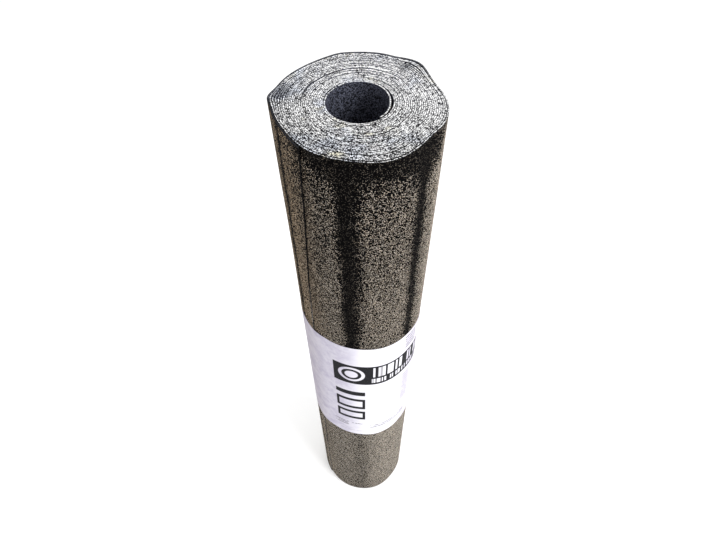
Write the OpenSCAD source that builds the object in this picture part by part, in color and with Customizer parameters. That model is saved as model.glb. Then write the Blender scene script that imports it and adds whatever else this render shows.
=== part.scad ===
// Roll of roofing felt standing on its end, with a paper band round it.
// Millimetres, +Z up. The origin is on the axis of the bore, at the bottom end.

/* [Felt] */
// Width of the sheet, which is the height of the standing roll
sheet_w = 1000; // [700:10:1250]
// Thickness of the sheet
sheet_t = 1.7; // [1:0.1:3]
// Spacing of the turns: the sheet, and the air that is rolled up with it
turn_pitch = 2.05; // [1.8:0.05:4]
// Radius over the middle of the outermost turn's rise, before the lobes
roll_r = 88; // [75:0.5:120]
// Radius of the open bore
bore_r = 32; // [20:0.5:45]
// How far the bore lies to one side of the roll's middle
bore_off = 2.3; // [0:0.1:4]
// Gap behind the loose innermost turn, where it is widest
loose_gap = 2.3; // [0.5:0.1:4]
// Angle of the sheet's outer end, from +X
lap_angle = 222; // [0:1:359]

/* [Lobes] */
// How much of the lobes the roll has: 0 is a round roll
lobe_scale = 1; // [0:0.05:1.2]
// How many turns in from the outside the lobes die out
lobe_turns = 12; // [6:1:16]

/* [Lines between the turns] */
// Width of each line on the end faces
line_w = 0.5; // [0.3:0.1:0.8]
// Depth of the lines
line_depth = 6; // [2:1:20]

/* [Paper band] */
// Height of the band's lower edge above the floor
band_z = 338; // [0:1:600]
// Height of the band
band_h = 317; // [50:1:380]
// Thickness of the paper
paper_t = 0.3; // [0.2:0.1:1]

/* [Hidden] */

// Each lobe bulges or flattens the roll: angle, height, reach to either side
lobes = [
    [174, 4.5, 7.5],    // sharp fold on the left
    [130, -2.5, 21],    // flat beside it
    [104, 1.5, 8],
    [64, -1, 6],
    [46.5, 5, 11],      // rounded corner at the back
    [21, -5, 18],       // flat on the right
    [-20, 1, 24],
    [-38, -3, 13],
    [-73, 4.5, 18],     // broad bulge at the front
    [-150, -4, 21]
];

outline_steps = 72;
line_overrun = 0.2;     // in steps of the outline
cut = 1;                // overshoot of a cut past the face it opens on

// The loose innermost turn lies on the wall behind it all round except where the gap opens
loose_r = bore_r + sheet_t;
wall_off = 0.7 * loose_gap;
wall_r = loose_r + loose_gap - wall_off;

turns = round((roll_r - wall_r) / turn_pitch);
pitch = (roll_r - wall_r) / turns;

function away(a, b) = abs((a - b + 540) % 360 - 180);
function lobe(a) = lobe_scale * sum([for (l = lobes) l[1] * exp(-pow(away(a, l[0]) / l[2], 2))]);
function sum(list, i = 0) = i < len(list) ? list[i] + sum(list, i + 1) : 0;

// Turns are counted from the wall of the bore outwards, and the lobes grow in the last of them
function lobe_share(turn) = max(0, 1 - (turns - turn) / lobe_turns);
function turn_r(turn, a) = wall_r + turn * pitch + lobe_share(turn) * lobe(a);
function turn_off(turn) = wall_off + (bore_off - wall_off) * turn / turns;

// The outermost turn climbs by one pitch on its way round to the sheet's end
function step_angle(i) = lap_angle + 360 * i / outline_steps;
function climb(i) = pitch * (i / outline_steps - 0.5);
function outer_point(i, extra) =
    let (a = step_angle(i), r = turn_r(turns, a) + climb(i) + extra)
    [bore_off + r * cos(a), r * sin(a)];

module roll_outline() {
    polygon([for (i = [0:outline_steps]) outer_point(i, 0)]);
}

// The paper bridges the step at the sheet's end in one straight run
module band_outline(extra) {
    polygon([for (i = [2:outline_steps]) outer_point(i, extra)]);
}

module turn_outline(turn, extra) {
    translate([turn_off(turn), 0])
        if (lobe_share(turn) > 0)
            polygon([for (i = [0:outline_steps - 1])
                let (a = step_angle(i), r = turn_r(turn, a) + extra)
                [r * cos(a), r * sin(a)]]);
        else
            circle(r = turn_r(turn, 0) + extra, $fn = 96);
}

// The line under the outermost turn runs just past the sheet's end, so it opens there
module last_line() {
    steps = [for (i = [0:outline_steps + 1]) min(i, outline_steps + line_overrun)];
    polygon(concat(
        [for (i = steps) outer_point(i, -pitch - line_w / 2)],
        [for (n = [1:len(steps)]) outer_point(steps[len(steps) - n], -pitch + line_w / 2)]));
}

module turn_lines() {
    for (turn = [1:turns - 2])
        difference() {
            turn_outline(turn - 0.5, line_w / 2);
            turn_outline(turn - 0.5, -line_w / 2);
        }
    last_line();
}

module loose_crescent() {
    difference() {
        translate([wall_off, 0])
            circle(r = wall_r, $fn = 96);
        circle(r = loose_r, $fn = 96);
    }
}

module end_cuts(z) {
    translate([0, 0, z])
        linear_extrude(line_depth + cut) {
            turn_lines();
            loose_crescent();
        }
}

module felt_roll() {
    color([0.23, 0.22, 0.2])
        difference() {
            linear_extrude(sheet_w)
                roll_outline();
            translate([0, 0, -cut])
                cylinder(h = sheet_w + 2 * cut, r = bore_r, $fn = 96);
            end_cuts(-cut);
            end_cuts(sheet_w - line_depth);
        }
}

module paper_band() {
    color([0.9, 0.9, 0.93])
        translate([0, 0, band_z])
            linear_extrude(band_h)
                difference() {
                    band_outline(paper_t);
                    band_outline(0);
                }
}

felt_roll();
paper_band();
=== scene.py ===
import bisect
import math

import bpy
from mathutils import Matrix, Vector, noise


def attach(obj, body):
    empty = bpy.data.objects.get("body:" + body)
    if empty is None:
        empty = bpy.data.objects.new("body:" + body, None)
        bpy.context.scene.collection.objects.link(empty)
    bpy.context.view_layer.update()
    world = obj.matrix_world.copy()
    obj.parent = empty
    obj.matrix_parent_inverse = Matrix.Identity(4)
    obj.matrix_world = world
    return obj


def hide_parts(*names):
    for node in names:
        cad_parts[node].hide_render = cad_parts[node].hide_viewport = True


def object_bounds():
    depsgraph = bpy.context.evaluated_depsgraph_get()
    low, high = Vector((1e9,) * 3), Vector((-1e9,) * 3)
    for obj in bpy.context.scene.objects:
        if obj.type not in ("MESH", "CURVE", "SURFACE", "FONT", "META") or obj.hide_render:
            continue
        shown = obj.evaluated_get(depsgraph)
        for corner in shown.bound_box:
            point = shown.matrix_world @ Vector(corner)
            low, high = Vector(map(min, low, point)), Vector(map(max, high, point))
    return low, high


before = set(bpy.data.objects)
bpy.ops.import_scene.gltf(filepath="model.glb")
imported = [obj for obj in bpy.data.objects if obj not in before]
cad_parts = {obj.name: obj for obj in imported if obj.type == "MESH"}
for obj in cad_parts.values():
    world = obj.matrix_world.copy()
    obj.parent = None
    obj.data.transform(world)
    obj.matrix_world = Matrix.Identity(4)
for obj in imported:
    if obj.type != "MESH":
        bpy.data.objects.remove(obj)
cadLow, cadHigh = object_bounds()

rollHeight = cadHigh.z - cadLow.z
rollMiddle = 0.0023  # the roll's middle lies this far from the bore's axis, along X
sharpFrom = math.radians(35)  # edges that turn more than this stay sharp


# Small tools

def selectOnly(piece):
    if bpy.context.object and bpy.context.object.mode != "OBJECT":
        bpy.ops.object.mode_set(mode="OBJECT")
    bpy.ops.object.select_all(action="DESELECT")
    if piece:
        piece.select_set(True)
        bpy.context.view_layer.objects.active = piece


def applyModifier(piece, kind, **settings):
    selectOnly(piece)
    modifier = piece.modifiers.new(kind.title(), kind)
    for name, value in settings.items():
        setattr(modifier, name, value)
    bpy.ops.object.modifier_apply(modifier=modifier.name)


def smoothStep(low, high, value):
    share = min(1.0, max(0.0, (value - low) / (high - low)))
    return share * share * (3 - 2 * share)


def wander(x, y=0.0, z=0.0):
    return noise.noise(Vector((x, y, z)))


# The roll's shape. A turn is counted back from the sheet's outer end, so the outermost one runs from 0 to 1.

roll = {
    "lapAngle": 222.0,       # where the outer end lies, in degrees from +X
    "radius": 0.088,         # of the outermost turn, before the lobes
    "turnPitch": 0.002062,
    "wallTurns": 26,         # full turns, out from the wall of the bore
    "innerTurns": 0.76,      # what the loose inner end adds to them
    "wallOffset": 0.00161,   # where the middle has moved to at the wall of the bore
    "looseGaps": [(3.0, 0.0021, 38.0), (165.0, 0.0009, 45.0)],  # behind the innermost turn: angle, gap, reach
    "gapOpens": 0.25,        # in this share of a turn
    "lobesBelow": 0.3,       # share of the lobes that is left under the paper band, where the roll is rounder
    "lobeFade": (0.66, 0.97),
    "bow": 0.0005,           # how far the standing roll strays in and out
}

# angle, height in millimetres, reach to either side in degrees, how many turns deep it goes
lobes = [
    (174, 4.5, 7.5, 6),      # sharp fold on the left, gaps open between its outer turns
    (130, -2.5, 21, 26),     # flat beside it
    (104, 1.5, 8, 12),
    (64, -1, 6, 26),
    (46.5, 5, 11, 6),        # rounded corner at the back
    (21, -5, 18, 26),        # flat on the right
    (-20, 1, 24, 26),
    (-38, -3, 13, 26),
    (-73, 4.5, 18, 26),      # broad bulge at the front
    (-150, -4, 21, 26),
]


def degreesApart(a, b):
    return abs((a - b + 540) % 360 - 180)


def outerTurn(angle):
    # where an angle lies on the outermost turn
    return ((roll["lapAngle"] - angle) % 360) / 360


def lobeHeight(angle, turn):
    height = 0
    for middle, rise, reach, depth in lobes:
        share = min(1, max(0, 1 - max(turn, 0) / depth))
        height += rise * share * math.exp(-(degreesApart(angle, middle) / reach) ** 2)
    return height / 1000


def lobeLoss(angle, turn, z):
    kept = roll["lobesBelow"] + (1 - roll["lobesBelow"]) * smoothStep(*roll["lobeFade"], z)
    return (1 - kept) * lobeHeight(angle, turn)


def outsideRadius(turn):
    angle = roll["lapAngle"] - 360 * turn
    radius = roll["radius"] + roll["turnPitch"] * (0.5 - turn) + lobeHeight(angle, turn)
    if turn > roll["wallTurns"]:
        for middle, gap, reach in roll["looseGaps"]:
            gap *= math.exp(-(degreesApart(angle, middle) / reach) ** 2)
            radius -= gap * smoothStep(0, roll["gapOpens"], turn - roll["wallTurns"])
    return radius


def placeOnTurn(turn, inwards):
    angle = math.radians(roll["lapAngle"] - 360 * turn)
    radius = outsideRadius(turn) - inwards
    share = min(turn, roll["wallTurns"]) / roll["wallTurns"]
    middle = rollMiddle + (roll["wallOffset"] - rollMiddle) * share
    return middle + radius * math.cos(angle), radius * math.sin(angle)


def settle(vertex, turn=None, outwards=0.0):
    # a wound sheet takes the roll's bow, and loses part of the lobes lower down
    place = vertex.co.copy()
    away = Vector((place.x - rollMiddle, place.y, 0)).normalized()
    angle = math.degrees(math.atan2(place.y, place.x - rollMiddle))
    bow = roll["bow"] * wander(place.x * 5, place.y * 5, place.z * 3.5)
    loss = lobeLoss(angle, outerTurn(angle) if turn is None else turn, place.z)
    vertex.co = place + away * (bow + outwards - loss)


def makePath(name, places):
    curve = bpy.data.curves.new(name, "CURVE")
    curve.dimensions = "2D"
    spline = curve.splines.new("POLY")
    spline.points.add(len(places) - 1)
    for point, place in zip(spline.points, places):
        point.co = (place[0], place[1], 0, 1)
    path = bpy.data.objects.new(name, curve)
    bpy.context.scene.collection.objects.link(path)
    return path


def lengthsAlong(places):
    along = [0.0]
    for a, b in zip(places, places[1:]):
        along.append(along[-1] + math.dist(a, b))
    return along


def flatSheet(name, length, bottom, height, columns, rows):
    selectOnly(None)
    bpy.ops.mesh.primitive_grid_add(
        x_subdivisions=columns, y_subdivisions=rows, size=1,
        location=(length / 2, 0, bottom + height / 2), rotation=(math.radians(90), 0, 0))
    sheet = bpy.context.object
    sheet.name = name
    sheet.data.name = name
    sheet.scale = (length, height, 1)
    bpy.ops.object.transform_apply(location=True, rotation=True, scale=True)
    return sheet


def followPath(sheet, path):
    applyModifier(sheet, "CURVE", object=path, deform_axis="POS_X")
    curve = path.data
    bpy.data.objects.remove(path)
    bpy.data.curves.remove(curve)


def smoothOver(sheet):
    selectOnly(sheet)
    bpy.ops.object.shade_smooth_by_angle(angle=sharpFrom)


# Nodes for the materials

class Recipe:
    def __init__(self, name):
        self.material = bpy.data.materials.new(name)
        self.material.use_nodes = True
        self.tree = self.material.node_tree
        self.shader = self.tree.nodes["Principled BSDF"]
        self.place = self.add("TexCoord").outputs["Object"]

    def feed(self, socket, value):
        if isinstance(value, bpy.types.NodeSocket):
            self.tree.links.new(value, socket)
        elif socket.type == "RGBA" and not isinstance(value, float):
            socket.default_value = (*value, 1)
        else:
            socket.default_value = value

    def add(self, kind, inputs=None, **settings):
        made = self.tree.nodes.new("ShaderNode" + kind)
        for name, value in settings.items():
            setattr(made, name, value)
        for name, value in (inputs or {}).items():
            self.feed(made.inputs[name], value)
        return made

    def maths(self, operation, *values, clamp=False):
        made = self.add("Math", dict(enumerate(values)), operation=operation, use_clamp=clamp)
        return made.outputs[0]

    def plus(self, first, second):
        return self.maths("ADD", first, second)

    def minus(self, first, second):
        return self.maths("SUBTRACT", first, second)

    def times(self, first, second, clamp=False):
        return self.maths("MULTIPLY", first, second, clamp=clamp)

    def over(self, first, second):
        return self.maths("DIVIDE", first, second)

    def larger(self, first, second):
        return self.maths("MAXIMUM", first, second)

    def absolute(self, value):
        return self.maths("ABSOLUTE", value)

    def squares(self, first, second):
        return self.plus(self.maths("POWER", first, 2.0), self.maths("POWER", second, 2.0))

    def distance(self, first, second):
        return self.maths("SQRT", self.squares(first, second))

    def raised(self, start, share, rise):
        return self.maths("MULTIPLY_ADD", share, rise, start)

    def without(self, value, lost):
        return self.times(value, self.minus(1.0, lost))

    def noise(self, scale, detail=2.0, roughness=0.5, at=None):
        made = self.add("TexNoise", {
            "Vector": at or self.place, "Scale": scale, "Detail": detail, "Roughness": roughness})
        return made.outputs["Fac"]

    def stray(self, start, reach, scale, detail, roughness=0.5):
        return self.raised(start, self.minus(self.noise(scale, detail, roughness), 0.5), reach)

    def cells(self, scale, at=None):
        made = self.add("TexVoronoi", {"Vector": at or self.place, "Scale": scale})
        chance, shade = self.split(made.outputs["Color"])[:2]
        return made.outputs["Distance"], chance, shade

    def ramp(self, value, low, high, fromValue=0.0, toValue=1.0):
        made = self.add("MapRange", {
            "Value": value, "From Min": low, "From Max": high, "To Min": fromValue, "To Max": toValue,
        }, interpolation_type="SMOOTHSTEP")
        return made.outputs["Result"]

    def inside(self, value, low, high, soft):
        above = self.ramp(value, low - soft, low + soft)
        return self.times(above, self.ramp(value, high + soft, high - soft))

    def mix(self, share, first, second, blend="MIX"):
        made = self.add("Mix", data_type="RGBA", blend_type=blend)
        colours = [socket for socket in made.inputs if socket.type == "RGBA"]
        self.feed(made.inputs["Factor"], share)
        self.feed(colours[0], first)
        self.feed(colours[1], second)
        return [socket for socket in made.outputs if socket.type == "RGBA"][0]

    def split(self, vector):
        return self.add("SeparateXYZ", {"Vector": vector}).outputs

    def bump(self, height, strength, distance=0.0004):
        made = self.add("Bump", {"Height": height, "Strength": strength, "Distance": distance})
        self.feed(self.shader.inputs["Normal"], made.outputs["Normal"])

    def finish(self, colour, roughness, specular):
        self.feed(self.shader.inputs["Base Color"], colour)
        self.shader.inputs["Roughness"].default_value = roughness
        self.shader.inputs["Specular IOR Level"].default_value = specular
        return self.material

    def aroundRoll(self):
        x, y, z = self.split(self.place)[:3]
        fromFront = self.maths("ARCTAN2", self.minus(x, rollMiddle), self.times(y, -1.0))
        return self.times(fromFront, 180 / math.pi), self.maths("SINE", fromFront), z


# Sanded face of the felt: dark bitumen, and pale sand that has come off in streaks, with a painted tan
# highlight on the far left.
# Angles are in degrees from the front, to the right; heights are in metres. What changes slowly round
# the roll goes by "side", the sine of the angle, which meets itself again at the back.

sand = {
    "grainSize": 0.00069,
    "grainEdge": (1.15, 0.5),    # a grain ends and is whole at these distances from its middle, in cells
    "grainSoftness": 0.04,
    "grainRelief": 0.45,
    "facets": (0.70, 1.35),      # how dim and how bright a grain gets
    "bitumen": (0.0016, 0.0015, 0.0016),
    "greyGrain": (0.44, 0.41, 0.38),
    "tanGrain": (0.52, 0.435, 0.34),
    # painted highlight: a warmer, brighter tint on the far left of the roll
    "paintedLeftHighlight": (1.20, 1.03, 0.82),
    "rightTint": (1.0, 0.985, 0.96),
    "lowTint": (0.97, 0.985, 0.985),
    "lowTintShare": 0.7,
    # the painted highlight on the left gives way to the right tint between these sides
    "leftHighlightSides": (-0.97, -0.42),
    "roughness": 0.85,
    "specular": 0.015,
    "bandTop": 0.65,             # the cover changes from the roll's top down to here
    "underBand": (0.36, 0.33),   # and again between these heights
    "coverAtTop": 0.18,
    "moreAtBand": 0.19,
    "moreAtFloor": 0.20,
    "moreAtRight": 0.40,
    "moreAtSides": 0.09,
    "moreAtFarRight": 0.72,
    "toRight": (-0.17, 0.87),    # the cover grows between these sides, below the band
    "toSides": (0.60, 0.90),     # to the left as well as to the right
    "toFarRight": (0.85, 0.98),
    "mottle": 0.6,
    "clumpSize": 0.0042,
    "clumps": 0.54,
    "buriedCover": 0.10,         # dim grains left in the bare bitumen
    "loneCover": 0.16,           # grains are half buried where the cover is less than this
    "loneBrightness": 0.12,
    "streakWobble": 7.0,         # degrees
    "rim": (0.955, 0.988),       # a worn strip along the upper edge
    "rimWobble": 0.05,
    "rimWear": 0.80,
}

# middle at the top, middle at the band, half width, strength above the band, strength below it
streaks = [
    (-11.5, -9.2, 5.8, 1.0, 0.30),
    (-3.0, -2.0, 4.5, 0.50, 0.0),
    (48.5, 46.3, 5.4, 0.93, 0.08),
    (-69.5, -67.5, 2.6, 0.95, 0.75),
    (3.0, 1.0, 6.0, 0.0, 0.35),
]
streakEdge = (2.1, 0.15)  # a streak starts, and is at its barest, at these shares of its half width

# from one side to another, how much wider the worn strip gets
rimSpreads = [(0.34, 0.77, 0.022), (0.88, 0.98, -0.045), (-0.45, -0.80, -0.028)]


def sandGrains(r, cover, size):
    distance, chance, shade = r.cells(1 / size)
    covered = r.larger(cover, sand["buriedCover"])
    bareShare = r.over(1.0, r.plus(1.0, covered))
    soft = sand["grainSoftness"]
    there = r.ramp(chance, r.minus(bareShare, soft), r.plus(bareShare, soft))
    return r.times(there, r.ramp(distance, *sand["grainEdge"])), shade


def sandCover(r, angle, side, z, low):
    down = r.ramp(z, rollHeight, sand["bandTop"])  # 0 at the top, 1 at the band
    cover = r.raised(sand["coverAtTop"], down, sand["moreAtBand"])
    cover = r.raised(cover, low, sand["moreAtFloor"])
    cover = r.raised(cover, r.times(r.ramp(side, *sand["toRight"]), low), sand["moreAtRight"])
    cover = r.raised(cover, r.ramp(r.absolute(side), *sand["toSides"]), sand["moreAtSides"])
    cover = r.raised(cover, r.ramp(side, *sand["toFarRight"]), sand["moreAtFarRight"])
    cover = r.times(cover, r.stray(1.0, sand["mottle"], 38, 4, 0.6))
    cover = r.times(cover, r.stray(1.0, sand["clumps"], 1 / sand["clumpSize"], 1), clamp=True)

    strayAngle = r.stray(r.stray(angle, sand["streakWobble"], 14, 3), sand["streakWobble"], 150, 3, 0.7)
    for top, bottom, half, above, below in streaks:
        middle = r.raised(top, down, bottom - top)
        away = r.absolute(r.minus(strayAngle, middle))
        strength = r.raised(above, low, below - above)
        bare = r.ramp(away, half * streakEdge[0], half * streakEdge[1])
        cover = r.without(cover, r.times(bare, strength))

    height = r.stray(z, sand["rimWobble"], 26, 4, 0.7)
    for fromSide, toSide, wider in rimSpreads:
        height = r.raised(height, r.ramp(side, fromSide, toSide), wider)
    return r.without(cover, r.times(r.ramp(height, *sand["rim"]), sand["rimWear"]))


def sandedMaterial():
    r = Recipe("sandedFelt")
    angle, side, z = r.aroundRoll()
    low = r.ramp(z, *sand["underBand"])
    cover = sandCover(r, angle, side, z, low)
    grain, shade = sandGrains(r, cover, sand["grainSize"])
    # painted tan highlight towards the far left, and a cooler tint low down
    tintAndHighlight = r.mix(r.ramp(side, *sand["leftHighlightSides"]), sand["paintedLeftHighlight"], sand["rightTint"])
    tintAndHighlight = r.mix(r.times(low, sand["lowTintShare"]), tintAndHighlight, sand["lowTint"])
    tone = r.mix(1.0, r.mix(shade, sand["greyGrain"], sand["tanGrain"]), tintAndHighlight, "MULTIPLY")
    facets = r.ramp(r.noise(1900, 2), 0.25, 0.75, *sand["facets"])
    facets = r.times(facets, r.ramp(cover, 0.0, sand["loneCover"], sand["loneBrightness"], 1.0))
    colour = r.mix(r.times(grain, facets, clamp=True), sand["bitumen"], tone)
    r.bump(grain, sand["grainRelief"])
    return r.finish(colour, sand["roughness"], sand["specular"])


# Back of the felt, which shows in the bore: bitumen with fine blue-grey talc.

back = {
    "cover": 0.66,
    "grainSize": 0.0007,
    "bitumen": (0.004, 0.0044, 0.0065),
    "darkGrain": (0.11, 0.12, 0.17),
    "paleGrain": (0.135, 0.14, 0.175),
    "roughness": 0.85,
    "specular": 0.06,
}


def backMaterial():
    r = Recipe("feltBack")
    grain, shade = sandGrains(r, back["cover"], back["grainSize"])
    colour = r.mix(grain, back["bitumen"], r.mix(shade, back["darkGrain"], back["paleGrain"]))
    r.bump(grain, sand["grainRelief"])
    return r.finish(colour, back["roughness"], back["specular"])


# Cut ends of the turns: pale sand and filler in black bitumen, darker along both skins of the sheet, with
# painted shade for the gaps beside the outermost and innermost turns, at the folds and along a crack.

cut = {
    "pale": (0.88, 0.88, 0.88),
    "cool": (0.75, 0.79, 0.87),
    "warm": (0.86, 0.82, 0.64),
    "coolPatches": (0.48, 0.70),
    "warmPatches": (0.58, 0.75),
    "dark": (0.010, 0.010, 0.012),
    "roughness": 0.85,
    "specular": 0.1,
    "relief": 0.4,
    "speckSize": 0.00085,
    "fineSpeckSize": 0.00085 / 2.2,
    "patches": 0.5,
    "darkerInFront": 0.17,
    "toFront": (0.01, -0.085),   # along Y
    "darkerOnLeft": 0.08,
    "toLeft": (-0.03, -0.08),    # along X
    "skins": 0.42,           # how dark the sheet's two skins get, in patches
    "gapShadeTurns": 1.9,      # painted shade in the gaps: the outermost turns show a clear dark line between them
    "innerGapShadeTurns": (25.2, 25.4),  # painted gap shade for the innermost ones as well, from here on
    "smearedTurns": 0.15,    # the outer end of the sheet has bitumen over its cut edge
    "backRim": 0.9,          # how dark the outermost turn is round the back, all but its inner skin
}

# darker spots of the upper end: x, y, reach, strength; the first two are painted shade at the fold on the
# left and the corner at the back, where gaps open between the turns
darkSpotsAndFoldShade = [(-0.079, 0.019, 0.015, 0.62), (0.051, 0.058, 0.010, 0.50), (0.040, 0.019, 0.009, 0.30)]

# painted shade of a crack across the turns near the fold: a bend, and then a stretch of a ring round the roll
crack = {
    "x": -0.054,
    "y": 0.0345,
    "bend": 0.008,               # radius round that place
    "bendWidth": (0.0011, 0.0004),
    "bendRight": (-0.003, -0.001),    # the bend is to the right of this, from its own middle
    "bendBack": (-0.0065, -0.0050),   # and behind this
    "ring": 0.0587,              # radius round the roll's middle
    "ringWidth": (0.0010, 0.0004),
    "ringLeft": (-0.047, -0.049),
    "ringBack": (0.010, 0.014),
    "darkness": 0.8,
}


# the skins are darker in patches; the outermost and innermost turns also get painted shade for the gaps
# between them
def skinLinesAndGapShade(r, turn, moved):
    across = r.add("Attribute", attribute_name="across").outputs["Fac"]
    lines = r.ramp(r.noise(50, 3, 0.6, moved), 0.42, 0.68, 0.0, cut["skins"])
    gapShade = r.ramp(turn, cut["gapShadeTurns"] + 0.2, cut["gapShadeTurns"] - 0.1)
    gapShade = r.larger(gapShade, r.ramp(turn, *cut["innerGapShadeTurns"]))
    lines = r.times(r.ramp(r.absolute(across), 0.26, 0.46), r.larger(lines, gapShade))
    smear = r.ramp(turn, cut["smearedTurns"] + 0.02, cut["smearedTurns"] - 0.03)
    backRim = r.times(r.ramp(turn, 0.60, 0.50), r.ramp(across, 0.45, 0.25))
    return r.larger(lines, r.larger(smear, r.times(backRim, cut["backRim"])))


# painted shade: the crack is drawn as a dark line, with no gap in the mesh
def crackShade(r, x, y):
    fromX = r.minus(x, crack["x"])
    fromY = r.minus(y, crack["y"])
    offBend = r.absolute(r.minus(r.distance(fromX, fromY), crack["bend"]))
    bend = r.times(r.ramp(offBend, *crack["bendWidth"]), r.ramp(fromX, *crack["bendRight"]))
    bend = r.times(bend, r.ramp(fromY, *crack["bendBack"]))
    offRing = r.absolute(r.minus(r.distance(r.minus(x, rollMiddle), y), crack["ring"]))
    ring = r.times(r.ramp(offRing, *crack["ringWidth"]), r.ramp(x, *crack["ringLeft"]))
    ring = r.times(ring, r.ramp(y, *crack["ringBack"]))
    return r.times(r.larger(bend, ring), crack["darkness"])


def cutMaterial():
    r = Recipe("cutEdge")
    turn = r.add("Attribute", attribute_name="turn").outputs["Fac"]
    x, y = r.split(r.place)[:2]
    moved = r.add("Mapping", {"Vector": r.place, "Location": (3, 1, 2)}).outputs[0]
    tone = r.mix(r.ramp(r.noise(22, 3, 0.6), *cut["coolPatches"]), cut["pale"], cut["cool"])
    tone = r.mix(r.ramp(r.noise(34, 3, 0.6, moved), *cut["warmPatches"]), tone, cut["warm"])

    patchy = r.stray(0.0, cut["patches"], 60, 4, 0.65)
    patchy = r.raised(patchy, r.ramp(y, *cut["toFront"]), cut["darkerInFront"])
    patchy = r.raised(patchy, r.ramp(x, *cut["toLeft"]), cut["darkerOnLeft"])
    chance = r.cells(1 / cut["speckSize"])[1]
    fineChance = r.cells(1 / cut["fineSpeckSize"], moved)[1]
    fineClear = r.ramp(r.minus(fineChance, patchy), 0.10, 0.45, 0.30, 1.0)
    clear = r.times(r.ramp(r.minus(chance, patchy), 0.32, 0.52), fineClear)

    # dark skins, with painted shade for the gaps, the folds and the crack
    dark = skinLinesAndGapShade(r, turn, moved)
    # darker spots, two of them painted shade at the folds
    for placeX, placeY, reach, strength in darkSpotsAndFoldShade:
        squares = r.squares(r.minus(x, placeX), r.minus(y, placeY))
        dark = r.larger(dark, r.times(r.ramp(squares, reach ** 2, (0.3 * reach) ** 2), strength))
    dark = r.larger(dark, crackShade(r, x, y))
    clear = r.without(clear, dark)
    r.bump(clear, cut["relief"])
    return r.finish(r.mix(clear, cut["dark"], tone), cut["roughness"], cut["specular"])


# The sheet's two short ends: pressed flat, and bare of sand towards the top.

pressed = {
    "cover": 0.45,
    "bitumen": (0.003, 0.003, 0.003),
    "bareFrom": (0.76, 0.84),
    "bareWobble": 0.12,
    "relief": 0.4,
    "roughness": 0.7,
    "specular": 0.06,
}


def pressedMaterial():
    r = Recipe("pressedEnd")
    z = r.split(r.place)[2]
    grain = sandGrains(r, pressed["cover"], sand["grainSize"])[0]
    bare = r.ramp(r.plus(z, r.times(r.noise(40, 3), pressed["bareWobble"])), *pressed["bareFrom"])
    r.bump(r.noise(900, 3), pressed["relief"])
    colour = r.mix(r.without(grain, bare), pressed["bitumen"], sand["greyGrain"])
    return r.finish(colour, pressed["roughness"], pressed["specular"])


# The felt itself: one flat sheet, cut and shaped, then wound up along the spiral

felt = {
    "thickness": 0.0017,
    "steps": 6200,           # of the spiral
    "overrun": -0.05,        # the spiral goes on past the lap to here, in turns, for the slanted end
    "overrunSteps": 20,
    "columns": 3000,
    "rows": 9,
    "edgeRound": 0.0002,
    "endReach": 0.06,        # length of the outer end that is slanted and lifted
    "endSlant": 0.0125,      # how much longer the sheet's outer end is at the top
    "slantHeight": 0.235,    # over this height
    "endSlantBelow": 0.014,  # and how much shorter at the bottom
    "slantLevels": (0.1, 0.95),  # between these shares of the height
    "endLift": 0.0011,
    "unevenTop": 0.0009,
    "unevenBottom": 0.0004,
    "edgeWaves": 7,          # of the uneven edges, to a metre
    "edgeReach": 0.2,        # share of the height that they take up
    "uneven": 0.00011,       # how far a turn strays in and out, which opens and shuts the gaps
    "burr": 0.09,            # share by which the cut swells the sheet's upper edge
    "burrFrom": 0.99,        # of the height
}


def spiralTurns():
    first = roll["wallTurns"] + roll["innerTurns"]
    turns = [first * (1 - i / felt["steps"]) for i in range(felt["steps"] + 1)]
    return turns + [felt["overrun"] * i / felt["overrunSteps"] for i in range(1, felt["overrunSteps"] + 1)]


def cutToShape(sheet, length, turns, along):
    across = sheet.data.attributes.new("across", "FLOAT", "POINT")
    turnOf = sheet.data.attributes.new("turn", "FLOAT", "POINT")
    ownTurns = []
    for vertex, share, ownTurn in zip(sheet.data.vertices, across.data, turnOf.data):
        place = vertex.co
        lengthways = place.x
        level = place.z / rollHeight
        turn = turns[min(len(along) - 1, bisect.bisect_left(along, lengthways))]
        share.value = place.y / felt["thickness"]
        ownTurn.value = turn
        ownTurns.append(turn)
        atEnd = 1 - smoothStep(0, felt["endReach"], length - lengthways)
        upHigh = smoothStep(rollHeight - felt["slantHeight"], rollHeight, place.z)
        nearTop = smoothStep(1 - felt["edgeReach"], 1, level)
        nearBottom = 1 - smoothStep(0, felt["edgeReach"], level)
        fromTop = felt["unevenTop"] * (wander(lengthways * felt["edgeWaves"], 5.5) - 0.75) * nearTop
        fromBottom = felt["unevenBottom"] * (wander(lengthways * felt["edgeWaves"], 9.5) + 0.75) * nearBottom
        place.z += fromTop + fromBottom
        place.y -= felt["endLift"] * atEnd * upHigh + felt["uneven"] * wander(lengthways * 3.1, 0.7)
        lowDown = 1 - smoothStep(*felt["slantLevels"], level)
        slant = felt["endSlant"] * upHigh - felt["endSlantBelow"] * lowDown
        place.x += slant * atEnd
        if level > felt["burrFrom"]:
            place.y *= 1 + felt["burr"] * smoothStep(-0.35, 0.25, wander(lengthways * 11, 7.7))
    return ownTurns


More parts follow.
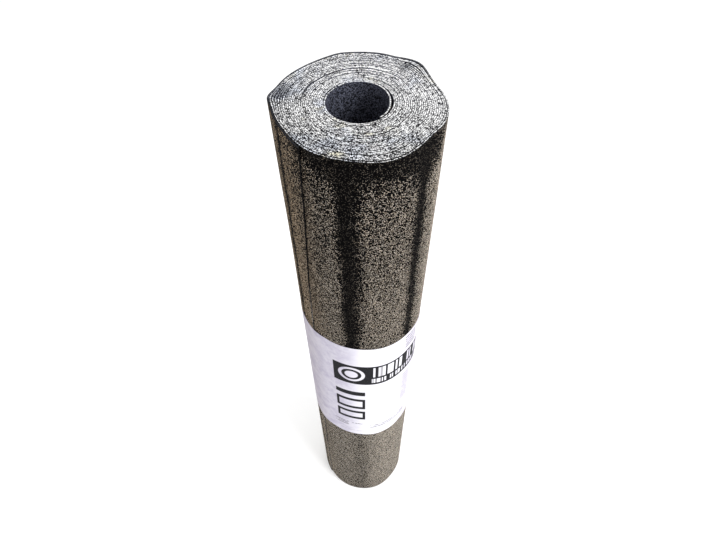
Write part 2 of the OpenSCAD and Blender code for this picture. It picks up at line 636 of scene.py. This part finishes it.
def makeFelt():
    print("winding the felt")
    turns = spiralTurns()
    places = [placeOnTurn(turn, felt["thickness"] / 2) for turn in turns]
    along = lengthsAlong(places)
    length = along[felt["steps"]]
    print("  sheet length", round(length, 3), "m")
    path = makePath("windingPath", places)
    sheet = flatSheet("feltSheet", length, 0, rollHeight, felt["columns"], felt["rows"])
    for material in (sandedMaterial(), backMaterial(), cutMaterial(), pressedMaterial()):
        sheet.data.materials.append(material)
    applyModifier(sheet, "SOLIDIFY", thickness=felt["thickness"], offset=0,
                  material_offset=1, material_offset_rim=2)
    for face in sheet.data.polygons:
        if abs(face.normal.x) > 0.9:
            face.material_index = 3  # the two short ends
    applyModifier(sheet, "BEVEL", width=felt["edgeRound"], segments=1,
                  limit_method="ANGLE", angle_limit=math.radians(60))
    ownTurns = cutToShape(sheet, length, turns, along)
    followPath(sheet, path)
    for vertex, turn in zip(sheet.data.vertices, ownTurns):
        settle(vertex, turn)
    smoothOver(sheet)
    return sheet


feltSheet = makeFelt()
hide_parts("felt_roll")
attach(feltSheet, "root")


# Paper band, one sheet that goes once round the felt and over its own start

band = {
    "bottom": 0.3365,
    "height": 0.316,
    "thickness": 0.00025,
    "clearance": 0.00012,
    "seamAngle": 84.0,
    "overlap": 22.0,         # degrees
    "seamClimb": 8.0,        # degrees in which the end climbs onto the start
    "bridge": 13.0,          # degrees that it runs straight, from the felt's end to the roll again
    "leanX": -0.09,          # the band's right side is lower
    "leanY": -0.08,          # and so is its back
    "steps": 760,
    "columns": 260,
    "rows": 40,
    "crease": 0.00045,
}


def bandRadius(angle):
    reach = band["bridge"]
    radius = outsideRadius(outerTurn(angle))
    past = (angle - roll["lapAngle"]) % 360
    if past < reach:
        share = past / reach
        high = outsideRadius(0)
        low = outsideRadius(1 - reach / 360)
        radius = max(radius, high + (low - high) * share)
    return radius


# The print is plain: a dark bar with an empty oval and pale blocks, dark boxes, and rows of grey rules.

label = {
    "white": (0.84, 0.84, 0.85),
    "plain": (0.78, 0.77, 0.825),
    "lavender": (0.46, 0.43, 0.545),
    "faded": (0.63, 0.605, 0.685),
    # painted shade: the paper darkens towards the roll's left side, which faces away from the light
    "paintedShade": (0.80, 0.78, 0.76),
    "plainStarts": (-25, 8),     # degrees
    "plainEnds": (150, 70),
    "fadedSides": (0.69, 0.78),
    # where the painted shade on the left comes in
    "paintedShadeSides": (-0.55, -0.95),
    "smudge": (0.46, 0.42, 0.46),
    "smudges": 0.35,
    "bar": (0.008, 0.008, 0.010),
    "rule": (0.07, 0.065, 0.09),
    "barAngles": (-29.5, 88),
    "barHeights": (0.543, 0.6015),
    "panelAngles": (4, 46),
    "panelHeights": (0.403, 0.533),
    "wornInk": 0.93,
    "roughness": 0.62,
    "specular": 0.06,
}

# left, right, lowest, highest, spacing, darkness of the rules
ruleBlocks = [
    (-33, -16, 0.372, 0.3900, 0.0060, 0.75),
    (-12, 0, 0.383, 0.3890, 0.0060, 0.75),
    (9, 57, 0.367, 0.3830, 0.0075, 0.75),
    (-26, 40, 0.350, 0.3545, 0.0045, 0.25),
    (46, 64, 0.612, 0.648, 0.0072, 0.80),
    (47, 60, 0.430, 0.530, 0.0090, 0.45),
]

# left, right, lowest, highest, usual length of the plain blocks that stand where lettering would be
paleBlocks = [(9.5, 86, 0.5675, 0.5970, 7.5), (9.5, 86, 0.5490, 0.5620, 4.2)]

# left, right, lowest, highest, width of the line round an empty box; one that is too low for it is full
darkBoxes = [
    (-28.5, 3.0, 0.5015, 0.5150, 0.012),
    (-28.5, 3.0, 0.4500, 0.4880, 0.0085),
    (-28.5, 3.0, 0.4060, 0.4400, 0.0085),
]
degreesPerMetre = 350  # what turns the width of that line into degrees, on the upright sides

paleOval = {"angle": -10.8, "level": 0.5735, "halfWidth": 13.5, "halfHeight": 0.0215, "ring": (0.24, 0.56)}


class Marks:
    def __init__(self, r, angle, level):
        self.r = r
        self.angle = angle
        self.level = level

    def box(self, left, right, lowest, highest, softSides=0.3, softEnds=0.0008):
        across = self.r.inside(self.angle, left, right, softSides)
        return self.r.times(across, self.r.inside(self.level, lowest, highest, softEnds))

    def blocks(self):
        r = self.r
        shown = 0.0
        for left, right, lowest, highest, usual in paleBlocks:
            stray = r.add("TexNoise", {"W": self.angle, "Scale": 0.8 / usual, "Detail": 0.0},
                          noise_dimensions="1D").outputs["Fac"]
            wave = r.maths("FRACT", r.over(r.raised(self.angle, stray, usual * 1.4), usual))
            block = r.times(self.box(left, right, lowest, highest), r.inside(wave, 0.20, 0.70, 0.04))
            shown = r.larger(block, shown)
        return shown

    def boxes(self):
        shown = 0.0
        for left, right, lowest, highest, line in darkBoxes:
            wide = line * degreesPerMetre
            box = self.box(left, right, lowest, highest)
            if highest - lowest > 2.5 * line:
                hole = self.box(left + wide, right - wide, lowest + line, highest - line)
                box = self.r.minus(box, hole)
            shown = self.r.larger(box, shown)
        return shown

    def oval(self):
        r = self.r
        across = r.over(r.minus(self.angle, paleOval["angle"]), paleOval["halfWidth"])
        up = r.over(r.minus(self.level, paleOval["level"]), paleOval["halfHeight"])
        fromMiddle = r.squares(across, up)
        return r.minus(r.ramp(fromMiddle, 1.06, 0.94), r.inside(fromMiddle, *paleOval["ring"], 0.04))

    def rules(self, paper):
        r = self.r
        broken = r.ramp(r.noise(260, 1), 0.36, 0.44)
        for left, right, lowest, highest, spacing, darkness in ruleBlocks:
            wave = r.maths("FRACT", r.over(r.minus(self.level, lowest), spacing))
            line = r.times(r.inside(wave, 0.15, 0.65, 0.08), broken)
            line = r.times(line, self.box(left, right, lowest, highest, softEnds=0.0002))
            paper = r.mix(r.times(line, darkness), paper, label["rule"])
        return paper


def paperMaterial():
    r = Recipe("bandPaper")
    angle, side, z = r.aroundRoll()
    x, y = r.split(r.place)[:2]
    level = r.raised(r.raised(z, y, -band["leanY"]), x, -band["leanX"])
    marks = Marks(r, angle, level)

    fibreAndShade = r.mix(r.ramp(r.noise(45, 5, 0.75), 0.30, 0.66), label["lavender"], label["faded"])
    # painted shade over the paper's fibre towards the left side
    fibreAndShade = r.mix(r.ramp(side, *label["paintedShadeSides"]), fibreAndShade, r.mix(1.0, fibreAndShade, label["paintedShade"], "MULTIPLY"))
    plain = r.times(r.ramp(angle, *label["plainStarts"]), r.ramp(angle, *label["plainEnds"]))
    paper = r.mix(plain, fibreAndShade, label["plain"])
    paper = r.mix(r.ramp(side, *label["fadedSides"]), paper, label["faded"])
    panel = marks.box(*label["panelAngles"], *label["panelHeights"], softSides=0.6, softEnds=0.001)
    paper = r.mix(panel, paper, label["white"])
    smudge = r.times(r.ramp(r.noise(70, 5, 0.7), 0.58, 0.76), label["smudges"])
    paper = marks.rules(r.mix(smudge, paper, label["smudge"]))

    bar = marks.box(*label["barAngles"], *label["barHeights"], softSides=0.25, softEnds=0.0006)
    ink = r.larger(r.minus(bar, r.larger(marks.blocks(), marks.oval())), marks.boxes())
    worn = r.times(ink, r.ramp(r.noise(420, 4, 0.7), 0.30, 0.42, label["wornInk"], 1.0))
    r.bump(r.noise(900, 3), 0.15, 0.0003)
    return r.finish(r.mix(worn, paper, label["bar"]), label["roughness"], label["specular"])


def makeBand():
    print("wrapping the paper band")
    start = band["seamAngle"]
    sweep = 360 + band["overlap"]
    places = []
    for i in range(band["steps"] + 1):
        angle = start + sweep * i / band["steps"]
        climb = smoothStep(360 - band["seamClimb"], 360, angle - start)
        radius = bandRadius(angle) + band["clearance"] + band["thickness"] / 2
        radius += climb * (band["thickness"] + band["clearance"])
        turned = math.radians(angle)
        places.append((rollMiddle + radius * math.cos(turned), radius * math.sin(turned)))
    length = lengthsAlong(places)[-1]
    print("  paper length", round(length, 3), "m")
    path = makePath("bandPath", places)
    sheet = flatSheet("paperBand", length, band["bottom"], band["height"], band["columns"], band["rows"])
    applyModifier(sheet, "SOLIDIFY", thickness=band["thickness"], offset=0)
    sheet.data.materials.append(paperMaterial())
    followPath(sheet, path)
    for vertex in sheet.data.vertices:
        place = vertex.co.copy()
        fold = max(0.0, wander(place.x * 22, place.y * 22, place.z * 9 + 4))
        settle(vertex, outwards=band["crease"] * fold)
        vertex.co.z += band["leanX"] * place.x + band["leanY"] * place.y
    smoothOver(sheet)
    return sheet


paperBand = makeBand()
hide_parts("paper_band")
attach(paperBand, "root")


# Floor, light and camera

stage = {
    "floorSize": 12.0,
    "floorColour": (0.90, 0.90, 0.90),
    "floorRoughness": 0.9,
    "floorSpecular": 0.1,
    "floorGlow": 0.12,
    "sky": (1.0, 1.0, 1.0),
    "skyStrength": 0.84,
}

# name, place, what it shines at, size, power
lamps = [
    ("keyLight", (1.9, -1.3, 2.4), (0, 0, 0.5), 1.6, 75),
    ("topLight", (-0.2, 0.5, 2.9), (0, 0, 0.9), 1.4, 20),
]


def makeFloor():
    print("laying the floor")
    selectOnly(None)
    bpy.ops.mesh.primitive_plane_add(size=stage["floorSize"], location=(0, 0, 0))
    floor = bpy.context.object
    floor.name = "floor"
    r = Recipe("paleFloor")
    r.shader.inputs["Emission Color"].default_value = (1, 1, 1, 1)
    r.shader.inputs["Emission Strength"].default_value = stage["floorGlow"]
    paleFloor = r.finish(stage["floorColour"], stage["floorRoughness"], stage["floorSpecular"])
    floor.data.materials.append(paleFloor)


def addSoftLight(name, place, target, size, power):
    light = bpy.data.lights.new(name, "AREA")
    light.shape = "DISK"
    light.size = size
    light.energy = power
    lamp = bpy.data.objects.new(name, light)
    lamp.location = place
    lamp.rotation_euler = (Vector(target) - Vector(place)).to_track_quat("-Z", "Y").to_euler()
    bpy.context.scene.collection.objects.link(lamp)


def makeSky():
    world = bpy.data.worlds.new("studio")
    world.use_nodes = True
    background = world.node_tree.nodes["Background"]
    background.inputs["Color"].default_value = (*stage["sky"], 1)
    background.inputs["Strength"].default_value = stage["skyStrength"]
    bpy.context.scene.world = world


def makeLights():
    print("hanging the lights")
    makeSky()
    for lamp in lamps:
        addSoftLight(*lamp)


view = {
    "place": (rollMiddle, -0.45992, 1.32889),
    "turn": -0.538,      # degrees to the right of +Y
    "down": 52.68,
    "tilt": 0.977,
    "lens": 27.6,
    "sensorWidth": 36,
}


def makeCamera():
    print("placing the camera")
    lens = bpy.data.cameras.new("camera")
    lens.lens = view["lens"]
    lens.sensor_width = view["sensorWidth"]
    lens.clip_start = 0.01
    camera = bpy.data.objects.new("camera", lens)
    turned = (Matrix.Rotation(math.radians(-view["turn"]), 4, "Z")
              @ Matrix.Rotation(math.radians(90 - view["down"]), 4, "X")
              @ Matrix.Rotation(math.radians(-view["tilt"]), 4, "Z"))
    camera.matrix_world = Matrix.Translation(view["place"]) @ turned
    bpy.context.scene.collection.objects.link(camera)
    bpy.context.scene.camera = camera


makeFloor()
makeLights()
makeCamera()
bpy.context.scene.view_settings.view_transform = "Standard"
